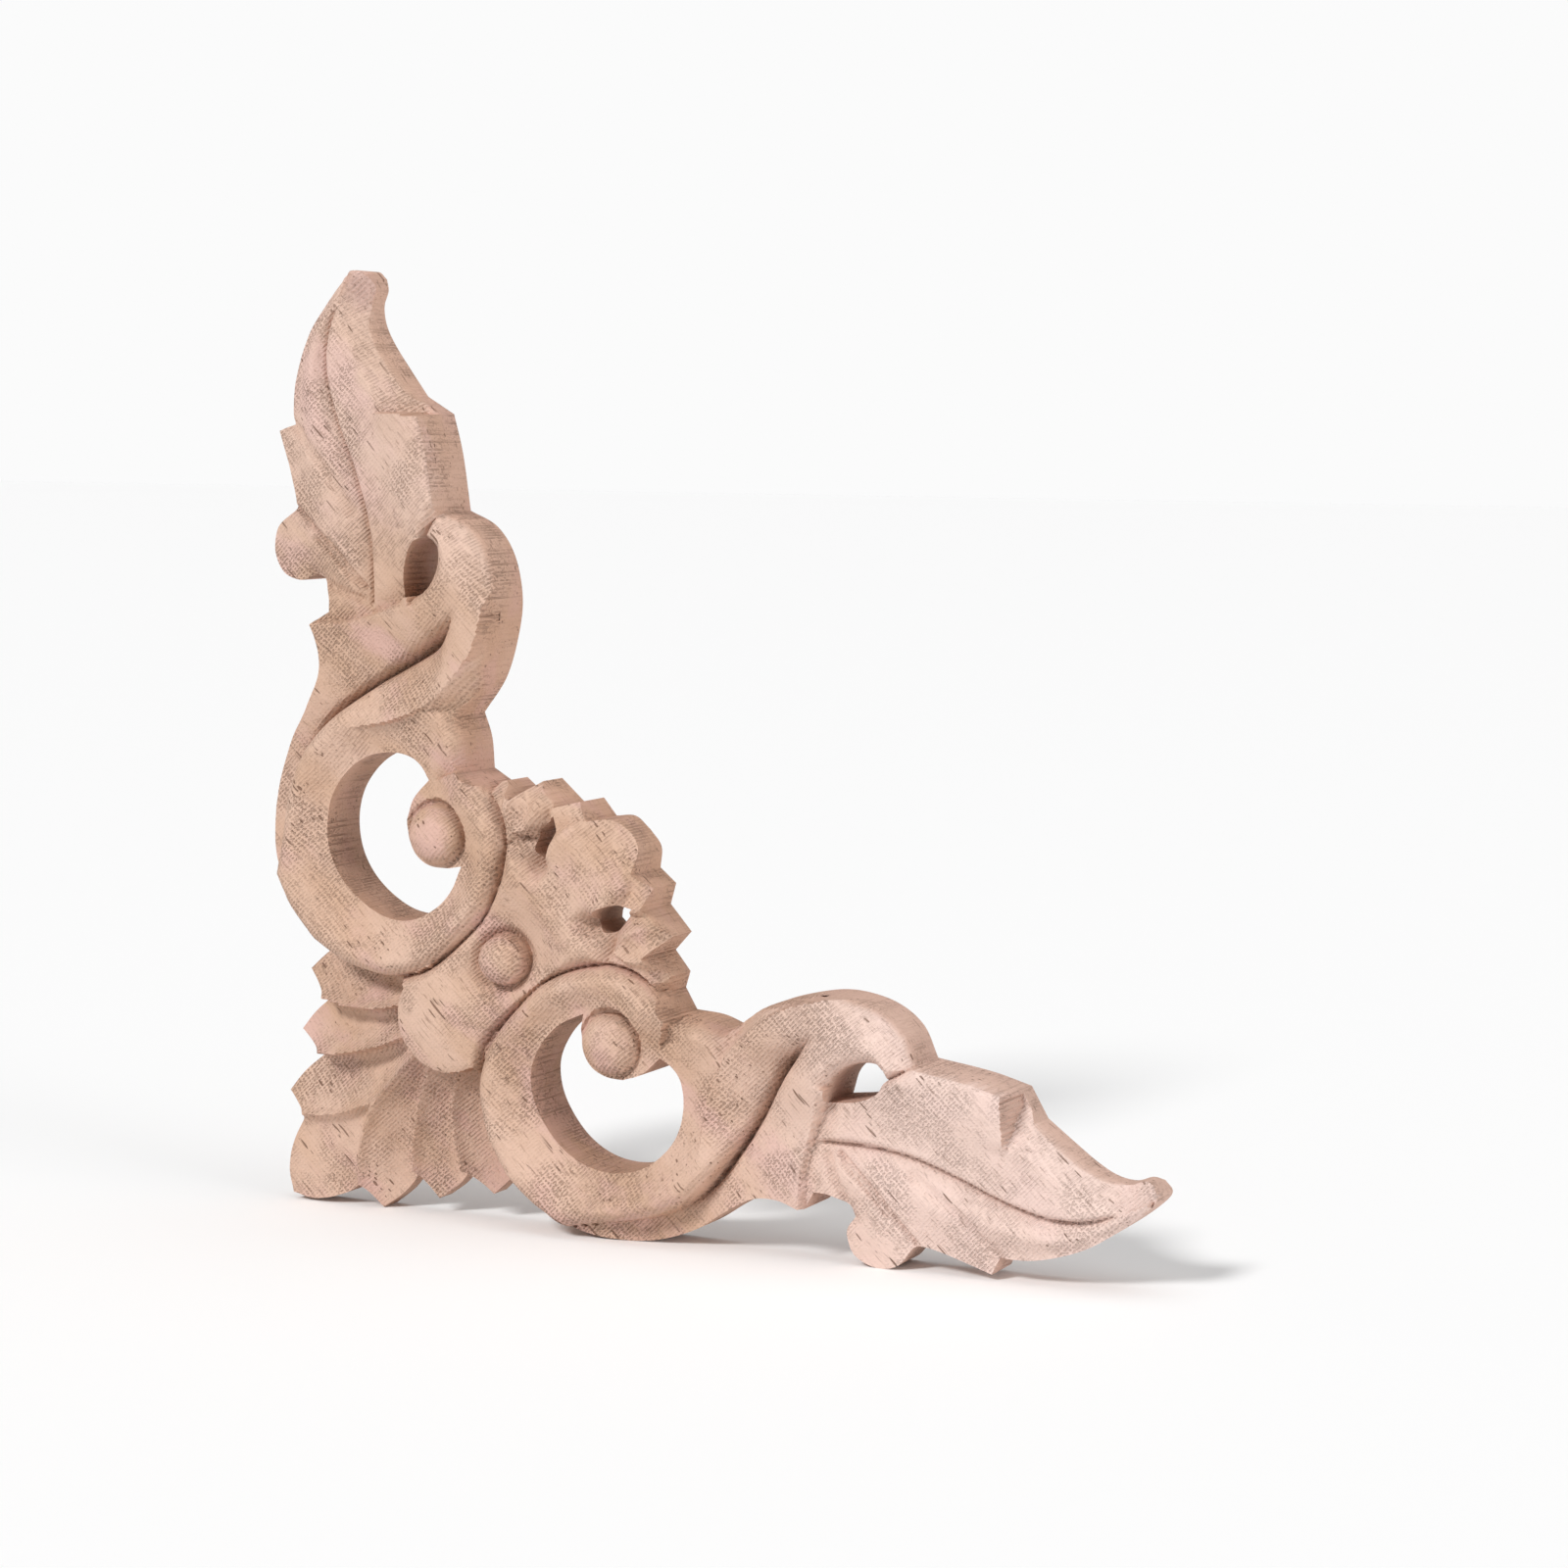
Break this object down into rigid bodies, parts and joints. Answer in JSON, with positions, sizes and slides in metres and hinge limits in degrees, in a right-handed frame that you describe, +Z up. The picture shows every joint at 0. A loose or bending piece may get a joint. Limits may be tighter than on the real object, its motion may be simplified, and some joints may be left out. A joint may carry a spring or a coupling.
{
  "type": "carved corner onlay",
  "caption": "Carved wooden corner onlay: two leafy scroll arms in an L around a fanned corner, pierced right through, with a flat back.",
  "frame": {"origin": "on the flat back, behind the centre of the round boss, where the onlay is set on its panel", "axes": "+Y out of the flat back, +Z up along the upright arm, +X along the lower arm from the outer corner"},
  "size_m": [0.099, 0.009, 0.099],
  "materials": {
    "wood": "bare, as carved"
  },
  "bodies": {
    "root": {"corner_onlay": "wood"}
  },
  "joints": []
}
